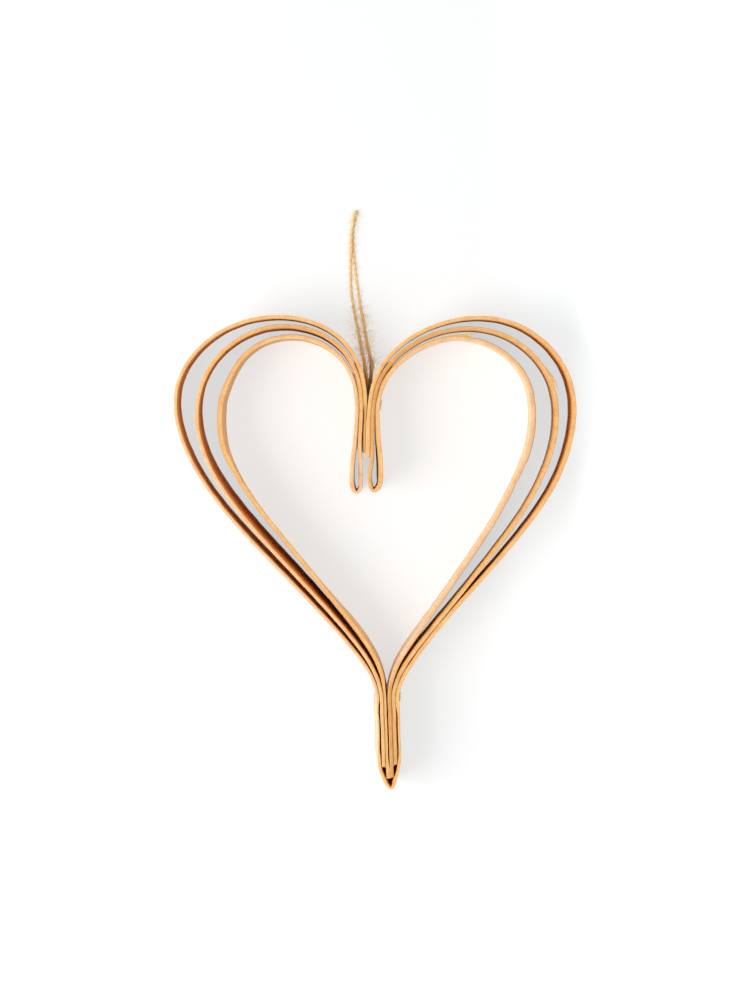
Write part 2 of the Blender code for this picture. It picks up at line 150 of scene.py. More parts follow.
# How thick the strip looks along each line, at four shares of its length: in the notch, on the lobe, at the
# side and at the stem
THICKNESS_SHARES = (0.0, 0.2, 0.5, 0.85)
THICKNESSES = {
    ("left", 0): (1.85, 1.6, 1.45, 1.4),
    ("left", 1): (1.5, 1.75, 1.65, 1.5),
    ("left", 2): (1.95, 1.75, 1.75, 1.6),
    ("right", 0): (1.85, 1.6, 1.9, 1.55),
    ("right", 1): (1.6, 1.8, 1.8, 1.65),
    ("right", 2): (1.95, 1.85, 1.85, 1.75),
}

# How the cut edges, the pale side and the dark side are toned along each strip: shares of its length, each
# with one of the wood's tones
TONES = {
    "outer_strip": {
        "edge": (
            (0.0, "tan"), (0.029, "tan"), (0.032, "gold"), (0.05, "honey"), (0.3, "straw"), (0.46, "straw"),
            (0.5, "honey"), (1.0, "honey"),
        ),
        "pale": ((0.0, "cream"), (1.0, "cream")),
        "bark": ((0.0, "bark"), (1.0, "bark")),
    },
    "left_strip": {
        "edge": (
            (0.0, "honey"), (0.24, "peach"), (0.31, "honey"), (0.37, "amber"), (0.46, "honey"),
            (0.52, "peach"), (0.6, "peach"), (0.68, "gold"), (1.0, "gold"),
        ),
        # Partly painted shade: the left strip's pale side, turned away from the light, takes darker tones
        # than the right strip's pale side
        "pale": (
            (0.0, "honey"), (0.55, "honey"), (0.62, "amber"), (0.72, "amber"), (0.8, "gold"), (1.0, "gold"),
        ),
        "bark": ((0.0, "bark"), (1.0, "bark")),
    },
    "right_strip": {
        "edge": (
            (0.0, "amber"), (0.1, "honey"), (0.3, "honey"), (0.43, "tan"), (0.49, "amber"), (0.52, "honey"),
            (0.72, "peach"), (0.92, "peach"), (0.945, "tan"), (1.0, "tan"),
        ),
        "pale": ((0.0, "honey"), (0.5, "cream"), (1.0, "cream")),
        "bark": ((0.0, "pale_bark"), (1.0, "pale_bark")),
    },
}

# What the tones are multiplied by: on the cut edges from the dark side to the pale one, and on the pale side
# from the table to the front, where the pale side's darkening towards the table is painted shade
WHITE = (1.0, 1.0, 1.0)
EDGE_TINT = (
    (0.01, (0.80, 0.58, 0.36)), (0.13, (0.96, 0.89, 0.78)), (0.4, (0.97, 0.95, 0.92)),
    (0.85, (1.02, 1.02, 1.02)),
)
PALE_PAINTED_SHADE = ((0.0, (0.90, 0.84, 0.76)), (0.9, WHITE))

# Each face's roughness, gloss, contrast of the grain and relief
SURFACES = {"edge": (0.6, 0.14, 0.7, 0.5), "pale": (0.6, 0.14, 0.7, 0.5), "bark": (0.8, 0.02, 0.8, 0.12)}

# The grain's four layers of noise: stretch along the strip, scale, detail, the values between which it goes
# from dark to light, what its dark end takes from red, green and blue, and what its light end multiplies by
GRAIN = {
    "fibre": (0.035, 5200.0, 5.0, (0.36, 0.64), (0.10, 0.19, 0.29), (1.06, 1.07, 1.08)),
    "mottle": (0.45, 2300.0, 3.0, (0.40, 0.66), (0.05, 0.10, 0.15), (1.03, 1.03, 1.04)),
    "band": (0.16, 400.0, 3.0, (0.35, 0.68), (0.06, 0.12, 0.18), (1.04, 1.04, 1.03)),
    "pore": (0.05, 3300.0, 2.0, (0.27, 0.34), (0.24, 0.42, 0.55), WHITE),
}

# The side of each strip's line on which its pale side lies, and where its waves start from
PALE_SIDES = {"outer_strip": -1.0, "left_strip": 1.0, "right_strip": -1.0}
STRIP_SEEDS = {"outer_strip": 20, "left_strip": 29, "right_strip": 38}

# Where a strip's wood is thicker or thinner than the rest: the shares of its length from which and up to
# which, the side (1 pale, -1 dark) and by how much. A thinner place is only as deep as the front half.
WORN_PLACES = {
    "outer_strip": (
        (0.0, 0.031, -1, -0.45), (0.0, 0.03, 1, -0.2), (0.442, 0.480, -1, -0.5), (0.523, 0.555, -1, -0.5),
        (0.505, 0.540, 1, -0.35), (0.806, 0.81, 1, -0.2), (0.972, 1.0, 1, 0.25),
    ),
    "left_strip": (
        (0.69, 0.757, -1, 0.31), (0.866, 0.8685, -1, 0.35), (0.650, 0.654, -1, -0.3),
        (0.325, 0.329, -1, -0.2), (0.4, 0.404, 1, -0.2), (0.932, 0.993, 1, -0.5),
    ),
    "right_strip": (
        (0.688, 0.762, -1, 0.31), (0.655, 0.661, -1, -0.5), (0.7, 0.703, -1, -0.25),
        (0.716, 0.721, -1, -0.22), (0.775, 0.779, -1, -0.25), (0.245, 0.249, -1, -0.25),
    ),
}

# Over which shares of the length a worn place starts and ends. A short one takes a third of itself, a long
# one takes the long ramp, or the slow one where it is much thicker, and a thicker one ends in a step.
LONG_PLACE = 0.02
LONG_RAMP = 0.006
SLOW_RAMP = 0.012
STEP_RAMP = 0.0018
MUCH_THICKER = 0.3

# Splinters that lift off a strip: x, y and half width along each, and how deep it reaches
SPLINTERS = {
    "upper_splinter": (
        ((29.4, 86.6, 0.42), (32.6, 87.1, 0.44), (35.8, 87.3, 0.38), (38.6, 87.6, 0.24), (40.9, 87.9, 0.05)),
        3.2,
    ),
    "side_splinter": (
        ((64.2, 77.2, 0.3), (66.8, 75.0, 0.55), (69.6, 72.0, 0.56), (71.8, 68.6, 0.48), (73.5, 64.8, 0.08)),
        4.5,
    ),
}
SPLINTER_SECTION = (
    (-1.0, 0.97), (-0.6, 1.0), (0.6, 1.0), (1.0, 0.97), (0.9, 0.5), (0.5, 0.0), (-0.5, 0.0), (-0.9, 0.5),
)
SPLINTER_THINNEST = 0.04
SPLINTER_TOP = 0.08
SPLINTER_FOOT = 0.4
SPLINTER_TAPER = 0.85

# Small waves, as a size and a length: of the strips' sides and front edges, of the splinters, and of the
# twine, where the size is a share of its thickness
SIDE_WAVE = (0.035, 9.0)
FRONT_WAVE = (0.05, 13.0)
SPLINTER_WAVE = (0.03, 2.5)
TWINE_WAVE = (0.06, 7.0)

# From which share of the width on the front's wave counts, and how far it sets the front back at least
FRONT_FROM = 0.98
FRONT_DROP = 0.01

# Where each staple sits: the line that its crown lies on, and the height y of its middle
STAPLES = {
    "notch_staple": (("right", 2), 59.2),
    "stem_staple_left": (("left", 0), -60.0),
    "stem_staple_right": (("right", 0), -59.0),
}

# How high the staples lie over the table, how far their legs end short of the last layer's face, the radius
# of a bend in diameters of the wire, and the steps of a bend and of the wire's round
STAPLE_HEIGHT = 12.5
LEG_SET_BACK = 0.4
BEND_RADIUS = 0.9
BEND_STEPS = 6
WIRE_SIDES = 14

# The twine's route from one end in the notch, up the table, round the loop's end and back
TWINE_ROUTE = (
    (-3.1, 66.0, 14.3), (-3.5, 69.5, 13.6), (-4.6, 76.2, 9.6), (-6.1, 84.4, 5.0), (-7.6, 91.9, 2.0),
    (-9.0, 98.8, 0.8), (-10.0, 106.7, 0.62), (-10.2, 113.2, 0.62), (-10.1, 118.9, 0.9),
    (-9.95, 121.8, 1.55), (-9.9, 125.8, 1.92), (-9.65, 129.8, 1.92), (-9.15, 133.5, 1.92),
    (-8.4, 136.6, 1.9), (-7.55, 137.35, 1.26), (-7.6, 136.2, 0.62), (-8.5, 133.3, 0.62),
    (-9.1, 129.8, 0.62), (-9.25, 125.8, 0.62), (-9.0, 122.2, 0.62), (-8.75, 118.9, 0.62),
    (-8.0, 112.0, 0.62), (-6.8, 103.2, 0.62), (-5.6, 96.2, 0.9), (-4.4, 90.0, 2.1), (-3.5, 84.6, 4.0),
    (-2.4, 79.6, 6.6), (-1.3, 75.6, 8.8), (-1.9, 70.6, 10.6), (-2.9, 66.0, 11.4),
)

# How the twine is laid: the step along it, how many sides it has, each ply's radius and distance from the
# middle as shares of the diameter, and how close to the table it comes, in metres
TWINE_STEP = 0.3
TWINE_SIDES = 20
PLY_RADIUS = 0.37
PLY_OFFSET = 0.20
LOWEST = 0.00002

# How the twine's colour changes from one end to the other, as shares of its length: painted shade darkens
# both ends, down in the notch, and the loop's end is paler
NOTCH_PAINTED_SHADE = (0.44, 0.27, 0.11)
NOTCH_PAINTED_HALF_SHADE = (0.88, 0.68, 0.43)
FADED = (1.0, 1.16, 1.4)
TWINE_SHADE_AND_FADE = (
    (0.0, NOTCH_PAINTED_SHADE), (0.06, NOTCH_PAINTED_HALF_SHADE), (0.12, WHITE), (0.44, WHITE), (0.5, FADED), (0.56, WHITE), (0.88, WHITE),
    (0.95, NOTCH_PAINTED_HALF_SHADE), (1.0, NOTCH_PAINTED_SHADE),
)

# The twine's hairs: how many points at its ends have none, the heights y between which it is frayed, the
# share of hairs that start there, their lengths, radii, steps and curls, and how many sides a strand has
BARE_END = 6
FRAYED = (0.074, 0.100)
FRAYED_SHARE = 0.3
HAIR_LENGTH = (0.0014, 0.0036)
FRAYED_LENGTH = 0.0074
HAIR_RADII = (0.000052, 0.000028)
HAIR_STEPS = 9
CURL = 0.30
CURL_CHANGE = 0.08
STRAND_SIDES = 4

# The fibres that are matted in the notch: the height y below which they start, the place they run towards,
# the spread of their starts and directions, their lengths, radii and steps, and how far they wave
MATTED_BELOW = 0.080
MATTED_TARGET = (-0.0029, 0.058)
MATTED_SPREAD = (0.0003, 0.0006)
MATTED_SLANT = (0.05, 0.2)
MATTED_LENGTH = (0.003, 0.0075)
MATTED_RADII = (0.00010, 0.00005)
MATTED_STEPS = 6
MATTED_WAVE = 0.0001

# Painted light in the table's glow, by the distance from the heart's middle line: a little less in the
# middle, more under the shaded gaps between the strips at its sides, and more again outside it, where it
# lightens the heart's cast shadow. Each ramp gives from which and up to which distance it changes, and from
# which to which factor
TABLE_PAINTED_LIGHT_RAMPS = (((0.040, 0.066), (0.96, 1.04)), ((0.0785, 0.0925), (1.0, 1.24)))
TABLE_SIZE = 2.5
TABLE_GLOW = (0.915, 1.01, 1.04)

# The soft light, which faces the middle of the heart, and the camera, which looks from its place to its aim
KEY_LIGHT_PLACE = (-0.75, -0.25, 0.95)
KEY_LIGHT_SIZE = 0.8
CAMERA_PLACE = (0.00006, 0.07299)
CAMERA_AIM = (0.00006, 0.02139, 0.025)
SENSOR_WIDTH = 36.0
CLIP_END = 20.0

# How the lines are worked out: the step of a spline, the height y that parts the lobe from the way down to
# the stem, how softly a line gives way to another, and how far a flat length may cut a bend short
SPLINE_STEP = 0.1
SHOULDER = -30.0
EASING = 4.0
CHORD_ERROR = 0.004

# How layers share the room between them: how far along and how far off a line another one lies beside it, how
# much of a strip's own line next to a place doesn't count, and the gap that stays
BESIDE_ALONG = 0.8
BESIDE_OFF = 0.4
OWN_STRETCH = 7.0
STAYING_GAP = 0.003

# Layers whose front edges come closer than this to touching are closed at the back, up to so much room
MET_ROOM = 0.22
CLOSED_ROOM = 2.6

# How much of a bend's radius the wood inside it may fill, from which bend per millimetre on, how thin it may
# get, and over how many stations to each side its lowest and its mean value are taken
RADIUS_SHARE = 0.8
TIGHT_BEND = 0.05
THINNEST_HALF = 0.25
LOWEST_REACH = 3
MEAN_REACH = 2

PITCH = STRIP_THICKNESS + LAYER_GAP
DRAWN_WIDTH = max(x for x, _, _ in LINES["right", 0]) - min(x for x, _, _ in LINES["left", 0])
DRAWING_SCALE = (HEART_WIDTH - STRIP_THICKNESS) / DRAWN_WIDTH


def colour_of(label, rgb, note):
    return bpy.props.FloatVectorProperty(
        name=label, description=note, default=rgb, min=0.0, max=1.0, size=3, subtype="COLOR",
    )


def length_of(label, size, least, note):
    return bpy.props.FloatProperty(name=label, description=note, default=size, min=least, unit="LENGTH")


class StripSettings(bpy.types.PropertyGroup):
    """Sizes and colours of the wooden strips"""

    width: length_of(
        "Width", 0.025, 0.005, "Width of the strips, which is the ornament's height on the table",
    )
    corner: length_of("Corner", 0.00011, 0.0, "Radius of the strips' worn corners")
    length_step: length_of("Length step", 0.001, 0.0002, "Longest flat length along a strip")
    cream: colour_of("Cream", (0.98, 0.76, 0.50), "Palest wood, on the pale sides")
    straw: colour_of("Straw", (0.89, 0.63, 0.40), "Palest cut edges, on the outer strip's left half")
    peach: colour_of("Peach", (0.90, 0.62, 0.39), "Pale cut edges with a warm tint, on the right inner line")
    honey: colour_of("Honey", (0.91, 0.58, 0.265), "The usual colour of the cut edges")
    gold: colour_of("Gold", (0.88, 0.56, 0.24), "Yellower wood, on the left inner line")
    amber: colour_of("Amber", (0.79, 0.48, 0.21), "Darkest cut edges, over the left lobe")
    tan: colour_of("Tan", (0.74, 0.42, 0.16), "Brown wood, where the outer strip starts in the notch")
    bark: colour_of("Bark side", (0.94, 0.46, 0.11), "The dark side of the strips, near the front")
    pale_bark: colour_of("Bark side, pale", (1.0, 0.70, 0.28), "The right strip's dark side, near the front")
    # Painted shade: the dark side's colour next to the table, where the strips shade each other
    bark_painted_shade: colour_of("Bark side, deep", (0.58, 0.24, 0.08), "The dark side of the strips, near the table")
    glow: bpy.props.FloatProperty(
        name="Glow", description="Share of the light that passes into the thin wood", default=0.4, min=0.0,
        max=1.0, subtype="FACTOR",
    )


class StapleSettings(bpy.types.PropertyGroup):
    """Sizes and colours of the wire staples"""

    wire: length_of("Wire", 0.0006, 0.0002, "Diameter of the wire")
    crown: length_of("Crown", 0.005, 0.002, "Length of the staple's crown")
    steel: colour_of("Wire colour", (0.86, 0.85, 0.83), "Colour of the bare wire")


class TwineSettings(bpy.types.PropertyGroup):
    """Sizes and colours of the twine"""

    diameter: length_of("Diameter", 0.0012, 0.0005, "Diameter of the twine")
    lay: length_of("Lay", 0.0052, 0.001, "Length of one full turn of the two plies")
    hairs: bpy.props.IntProperty(
        name="Hairs", description="Number of loose hairs along the twine", default=760, min=0,
    )
    fibres: bpy.props.IntProperty(
        name="Fibres", description="Number of matted fibres where the twine goes into the notch", default=280,
        min=0,
    )
    fibre_light: colour_of("Fibre, light", (1.0, 0.73, 0.39), "Light fibres of the twine")
    fibre_dark: colour_of("Fibre, dark", (0.76, 0.44, 0.17), "Dark fibres of the twine")


class StageSettings(bpy.types.PropertyGroup):
    """The table, the light and the camera"""

    lens: bpy.props.FloatProperty(
        name="Lens", description="Focal length of the camera, in millimetres", default=102.96, min=10.0,
    )
    camera_height: length_of("Camera height", 1.168, 0.3, "Height of the camera over the table")
    key_power: bpy.props.FloatProperty(
        name="Key light", description="Power of the soft light at the left, in watts", default=11.0, min=0.0,
    )
    room_light: bpy.props.FloatProperty(
        name="Room light", description="Strength of the even light of the white room", default=0.62, min=0.0,
    )
    table: colour_of("Table", (0.43, 0.385, 0.375), "Colour of the table's white glass")
    table_light: bpy.props.FloatProperty(
        name="Table light", description="Strength of the light that shines up through the white glass",
        default=0.61, min=0.0,
    )


def run_of(points):
    """How far along its line each point lies."""
    return np.concatenate([[0.0], np.cumsum(np.linalg.norm(np.diff(points, axis=0), axis=1))])


def natural_spline(points, step):
    """Points at an even step along the natural cubic spline through the given ones, as a lath bends."""
    knots = np.array(points, float)
    at = run_of(knots[:, :2])
    count = len(knots)
    system = np.eye(count)
    right_side = np.zeros_like(knots)
    for i in range(1, count - 1):
        before = at[i] - at[i - 1]
        after = at[i + 1] - at[i]
        system[i, i - 1:i + 2] = before, 2.0 * (before + after), after
        slope_change = (knots[i + 1] - knots[i]) / after - (knots[i] - knots[i - 1]) / before
        right_side[i] = 6.0 * slope_change
    bend = np.linalg.solve(system, right_side)
    along = np.linspace(0.0, at[-1], max(2, round(at[-1] / step)) + 1)
    piece = np.clip(np.searchsorted(at, along, side="right") - 1, 0, count - 2)
    width = (at[piece + 1] - at[piece])[:, None]
    back = (at[piece + 1] - along)[:, None]
    ahead = (along - at[piece])[:, None]
    curve = (bend[piece] * back**3 + bend[piece + 1] * ahead**3) / (6.0 * width)
    line = (knots[piece] / width - bend[piece] * width / 6.0) * back
    return curve + line + (knots[piece + 1] / width - bend[piece + 1] * width / 6.0) * ahead


def axis_x(axis, y):
    """The x of a line down the heart at height y."""
    xs, ys = zip(*reversed(axis))
    return float(np.interp(y, ys, xs))


def in_notch(side, layer, y):
    """A point of the layer where it lies packed in the notch, the outer strip innermost."""
    away = ((STRIP_THICKNESS + NOTCH_OPENING) / 2.0 + layer * PITCH) / DRAWING_SCALE
    return (axis_x(NOTCH_AXIS, y) + SIDES[side] * away, y, 0.0)


def in_stem(side, layer, y):
    """A point of the layer where it lies packed in the stem, the outer strip outermost."""
    away = (STEM_REACH - layer) * PITCH / DRAWING_SCALE
    lean = STEM_SPLAY[side] if layer == 0 else 0.0
    return (axis_x(STEM_AXIS, y) + SIDES[side] * away, y, lean)


def course(side, layer):
    """The key points of one line from the top of the notch's packed stretch to the foot of the stem."""
    shoulder = in_stem(side, layer, STEM_ROWS[0])
    points = [in_notch(side, layer, NOTCH_ROWS[0]), *LINES[side, layer], (*shoulder[:2], shoulder[2] / 2.0)]
    points += [in_stem(side, layer, y) for y in STEM_ROWS[1:]]
    return points + [in_stem(side, layer, STEM_ENDS[layer][side])]


def outer_points():
    """The whole outer strip, from its left end over both lobes to its right end."""
    halves = {}
    reach = STEM_REACH * PITCH / DRAWING_SCALE
    for side, sign in SIDES.items():
        top = [in_notch(side, 0, y) for y in (NOTCH_ENDS[side], NOTCH_ROWS[1])]
        foot = [
            (axis_x(STEM_AXIS, y) + sign * share * reach, y, lean) for share, y, lean in FOOT_PROFILE[side]
        ]
        halves[side] = top + course(side, 0) + foot
    tip = (axis_x(STEM_AXIS, FOOT_TIP), FOOT_TIP, 0.0)
    return halves["left"] + [tip] + halves["right"][::-1]


def folded_points(side):
    """One side's strip: its middle line from the stem to the notch, the fold, and its inner line back."""
    middle = course(side, 1)[::-1] + [in_notch(side, 1, y) for y in NOTCH_ROWS[1:]]
    fold = [(in_notch(side, 1, y)[0] + SIDES[side] * away, y, lean) for away, y, lean in HAIRPINS[side]]
    return middle + fold + course(side, 2)


def headings(points):
    """The unit direction of the line at each of its points, and its normal to the left of that."""
    ahead = np.gradient(points[:, :2], axis=0)
    ahead /= np.linalg.norm(ahead, axis=1)[:, None]
    return ahead, np.column_stack([-ahead[:, 1], ahead[:, 0]])


def inward_sign(side, points):
    """1 where the normal to the left of the line points into the heart's lobe on that side, else -1."""
    widest = int(np.argmax(SIDES[side] * points[:, 0]))
    return -1.0 if SIDES[side] * headings(points)[1][widest, 0] > 0 else 1.0


def edges_of(side, points):
    """The front and the back edge of a line, as x and y: the back edge is the front edge leaned."""
    normal = headings(points)[1]
    front = points[:, :2]
    return front, front + inward_sign(side, points) * normal * points[:, 2:3]


def eased(amount):
    """Amounts along a line, spread so that they start and end softly and are nowhere less than given."""
    reach = round(EASING / SPLINE_STEP)
    widest = np.array([amount[max(0, i - reach):i + reach + 1].max() for i in range(len(amount))])
    weight = np.hanning(2 * reach + 3)[1:-1]
    return np.convolve(np.pad(widest, reach, mode="edge"), weight / weight.sum(), mode="valid")


def kept_clear(line, other, side_of_other, where):
    """The two edges of a line, moved where they come closer than a pitch to the other line's edges."""
    pitch = PITCH / DRAWING_SCALE
    moved = []
    for edge, beside in zip(line, other):
        normal = side_of_other * headings(beside)[1]
        amount = np.zeros(len(edge))
        for i in np.flatnonzero(where):
            nearest = int(np.argmin(np.linalg.norm(beside - edge[i], axis=1)))
            apart = float((edge[i] - beside[nearest]) @ normal[nearest])
            if 0 < nearest < len(beside) - 1 and apart < pitch:
                amount[i] = pitch - apart
        own = headings(edge)[1]
        middle = len(edge) // 2
        nearest = int(np.argmin(np.linalg.norm(beside - edge[middle], axis=1)))
        own *= math.copysign(1.0, float(own[middle] @ normal[nearest]))
        moved.append(edge + own * eased(amount)[:, None])
    return moved


def kept_off_axis(side, line):
    """The edges of an inner line, kept half a pitch off the stem's axis, where it meets the other side's."""
    moved = []
    for edge in line:
        half = PITCH / DRAWING_SCALE / 2.0
        limit = np.array([axis_x(STEM_AXIS, y) for y in edge[:, 1]]) + SIDES[side] * half
        amount = np.where(edge[:, 1] < SHOULDER, np.maximum(SIDES[side] * (limit - edge[:, 0]), 0.0), 0.0)
        result = edge.copy()
        result[:, 0] += SIDES[side] * eased(amount)
        moved.append(result)
    return moved


def wanted_thickness(side, layer, count):
    """How thick a line of so many points looks at each of them."""
    return np.interp(np.linspace(0.0, 1.0, count), THICKNESS_SHARES, THICKNESSES[side, layer])


def lines_of_side(side, outer_half):
    """The edges and the thickness of one side's outer, middle and inner lines, kept clear of each other."""
    folded = natural_spline(folded_points(side), SPLINE_STEP)
    fold_height = min(y for _, y, _ in HAIRPINS[side])
    in_fold = np.abs(folded[:, 0] - folded[len(folded) // 2, 0]) < STRIP_WIDTH
    fold = int(np.argmin(np.where(in_fold, np.abs(folded[:, 1] - fold_height), np.inf)))
    lines = [outer_half, folded[:fold + 1], folded[fold:]]
    inward = [inward_sign(side, line) for line in lines]
    edges = [edges_of(side, line) for line in lines]
    in_lobe = [line[:, 1] > SHOULDER for line in lines]
    in_stem_half = [~above for above in in_lobe]
    in_lobe[2][:int(np.argmax(lines[2][:, 1] > NOTCH_ROWS[1]))] = False
    for layer in (1, 2):
        edges[layer] = kept_clear(edges[layer], edges[layer - 1], inward[layer - 1], in_lobe[layer])
    edges[2] = kept_off_axis(side, edges[2])
    for layer in (1, 0):
        edges[layer] = kept_clear(edges[layer], edges[layer + 1], -inward[layer + 1], in_stem_half[layer])
    thick = [wanted_thickness(side, layer, len(lines[layer])) for layer in range(3)]
    down = {0: side == "left", 1: False, 2: True}
    return [(*edges[layer], thick[layer] if down[layer] else thick[layer][::-1]) for layer in range(3)]


def lines_of_strips():
    """The front edge, the back edge and the wanted thickness of all three strips, at their real size."""
    outer = natural_spline(outer_points(), SPLINE_STEP)
    tip = int(np.argmin(outer[:, 1]))
    left = lines_of_side("left", outer[:tip + 1])
    right = lines_of_side("right", outer[tip:])
    parts = {
        "outer_strip": (left[0], right[0]),
        "left_strip": (left[1], left[2]),
        "right_strip": (right[1], right[2]),
    }
    strips = {}
    centre = DRAWING_SCALE * np.array(DRAWING_CENTRE)
    for name, (first, second) in parts.items():
        front, back = (np.concatenate([first[k], second[k][1:]]) * DRAWING_SCALE - centre for k in (0, 1))
        strips[name] = (front, back, np.concatenate([first[2], second[2][1:]]))
    return strips


def stations(line, longest):
    """The indices at which the line is cut into flat lengths, closer together where it bends more."""
    ahead = headings(line)[0]
    turn = np.abs(ahead[:-1, 0] * ahead[1:, 1] - ahead[:-1, 1] * ahead[1:, 0])
    run = np.linalg.norm(np.diff(line, axis=0), axis=1)
    picked = [0]
    length = 0.0
    for i in range(1, len(line) - 1):
        length += run[i - 1]
        radius = run[i] / max(turn[i - 1:i + 1].max(), 1e-6)
        if length >= min(longest, math.sqrt(8.0 * CHORD_ERROR * radius)):
            picked.append(i)
            length = 0.0
    return picked + [len(line) - 1]


def half_thicknesses(strips, picked):
    """How far each strip's wood reaches to both sides of its line, so that layers that meet just touch."""
    reach = {}
    packed = {}
    for edge in (0, 1):
        lines = {name: parts[edge][picked[name]] for name, parts in strips.items()}
        everywhere = np.concatenate(list(lines.values()))
        run = np.concatenate([run_of(line) for line in lines.values()])
        owner = np.concatenate([[name] * len(line) for name, line in lines.items()])
        for name, line in lines.items():
            ahead, normal = headings(line)
            wanted = strips[name][2][picked[name]] / 2.0
            own = np.flatnonzero(owner == name)
            bend = np.gradient(np.unwrap(np.arctan2(ahead[:, 1], ahead[:, 0])), run[own])
            halves = []
            for sign in (1.0, -1.0):
                half = wanted.copy()
                closed = np.zeros(len(line))
                met = packed.setdefault((name, sign), set())
                for i in range(len(line)):
                    offset = everywhere - line[i]
                    off_side = sign * (offset @ normal[i])
                    beside = (np.abs(offset @ ahead[i]) < BESIDE_ALONG) & (off_side > BESIDE_OFF)
                    beside[own] &= np.abs(run[own] - run[own[i]]) > OWN_STRETCH
                    if beside.any():
                        room = off_side[beside].min() / 2.0 - STAYING_GAP
                        if edge == 0 and room < wanted[i] + MET_ROOM:
                            met.add(i)
                        if edge == 1 and i in met and room < CLOSED_ROOM:
                            closed[i] = room
                        half[i] = min(half[i], room)
                tight = np.maximum(sign * bend, TIGHT_BEND)
                half = np.where(tight > TIGHT_BEND, np.minimum(half, RADIUS_SHARE / tight), half)
                padded = np.pad(half, LOWEST_REACH, mode="edge")
                lowest = [padded[i:i + 2 * LOWEST_REACH + 1].min() for i in range(len(half))]
                weights = np.ones(2 * MEAN_REACH + 1) / (2 * MEAN_REACH + 1)
                smooth = np.convolve(np.pad(lowest, MEAN_REACH, mode="edge"), weights, mode="valid")
                halves.append(np.maximum(smooth, closed))
            reach[name, edge] = halves
    return reach


def joined_mesh(name, shape, materials):
    """A smooth-shaded object of the shape, whose faces point out."""
    if shape.calc_volume(signed=True) < 0:
        bmesh.ops.reverse_faces(shape, faces=shape.faces)
    mesh = bpy.data.meshes.new(name)
    for face in shape.faces:
        face.smooth = True
    shape.to_mesh(mesh)
    shape.free()
    made = bpy.data.objects.new(name, mesh)
    for finish in materials:
        mesh.materials.append(finish)
    bpy.context.scene.collection.objects.link(made)
    return made


def rolled(shape, rows, along, around, slots=None, section=None):
    """A tube in the shape: a grid whose rows run along it, rolled up, with its seam and both ends closed."""
    count = rows.shape[1]
    slots = slots or [0] * len(rows)
    layer = shape.loops.layers.uv.get("along") or shape.loops.layers.uv.new("along")
    cross = shape.loops.layers.uv.get("section") or shape.loops.layers.uv.new("section")
    grid = bmesh.ops.create_grid(shape, x_segments=count - 1, y_segments=len(rows) - 1, size=1.0)["verts"]
    place = {}
    for index, vertex in enumerate(grid):
        row, station = divmod(index, count)
        vertex.co = rows[row, station]
        place[vertex] = (row, station)
    new = list(dict.fromkeys(face for vertex in grid for face in vertex.link_faces))
    for face in new:
        face.material_index = slots[min(place[vertex][0] for vertex in face.verts)]
        for loop in face.loops:
            row, station = place[loop.vert]
            loop[layer].uv = (along[station], around[row])
            if section:
                loop[cross].uv = section[row]
    seam = [v for v in grid if place[v][0] in (0, len(rows) - 1)]
    bmesh.ops.remove_doubles(shape, verts=seam, dist=1e-7)
    rims = [e for f in new if f.is_valid for e in f.edges if e.is_boundary]
    caps = bmesh.ops.edgeloop_fill(shape, edges=list(set(rims)))["faces"]
    for cap in caps:
        cap.material_index = slots[0]


# The round of a strip's section: share of the half thickness, set-back from that face and share of the width,
# each in turn, and the finish of the face that follows: 0 the cut edge, 1 the pale side, 2 the dark side
SECTION = (
    (-0.5, 0.0, 1.0, 0), (0.0, 0.0, 1.0, 0), (0.5, 0.0, 1.0, 0),
    (1.0, 1.0, 1.0, 0), (1.0, 0.3, 0.994, 0), (1.0, 0.0, 0.986, 1),
    (1.0, 0.0, 0.95, 1), (1.0, 0.0, 0.8, 1), (1.0, 0.0, 0.5, 1), (1.0, 0.0, 0.2, 1), (1.0, 0.0, 0.05, 1),
    (1.0, 0.0, 0.014, 0), (1.0, 0.3, 0.006, 0), (1.0, 1.0, 0.0, 0),
    (0.0, 0.0, 0.0, 0),
    (-1.0, 1.0, 0.0, 0), (-1.0, 0.3, 0.006, 0), (-1.0, 0.0, 0.014, 2),
    (-1.0, 0.0, 0.05, 2), (-1.0, 0.0, 0.2, 2), (-1.0, 0.0, 0.5, 2), (-1.0, 0.0, 0.8, 2), (-1.0, 0.0, 0.95, 2),
    (-1.0, 0.0, 0.986, 0), (-1.0, 0.3, 0.994, 0), (-1.0, 1.0, 1.0, 0),
)


def worn_by(name, run, side, front):
    """How much thicker the wood of a strip is on one side, at each place along it."""
    share = run / run[-1]
    amount = np.zeros_like(run)
    for start, end, worn_side, by in WORN_PLACES[name]:
        if worn_side == side and (by > 0.0 or front):
            ramps = [(end - start) / 3.0] * 2
            if end - start > LONG_PLACE:
                ramp = SLOW_RAMP if by > MUCH_THICKER else LONG_RAMP
                ramps = [ramp, STEP_RAMP if by > 0.0 else ramp]
            rise = np.clip((share - start) / ramps[0], 0.0, 1.0) if start > 0.0 else 1.0
            fall = np.clip((end - share) / ramps[1], 0.0, 1.0) if end < 1.0 else 1.0
            amount += by * rise * fall
    return amount


def waver(run, seed, size, length):
    """A slow irregular wave along a strip, of about that size and length, always the same for a seed."""
    draw = random.Random(seed)
    wave = np.zeros_like(run)
    for k in range(5):
        turns = run * math.tau / (length * draw.uniform(0.5, 1.8))
        wave += math.sin(k + 1.0) * np.sin(turns + draw.uniform(0, 6.28))
    return size * wave / 2.0


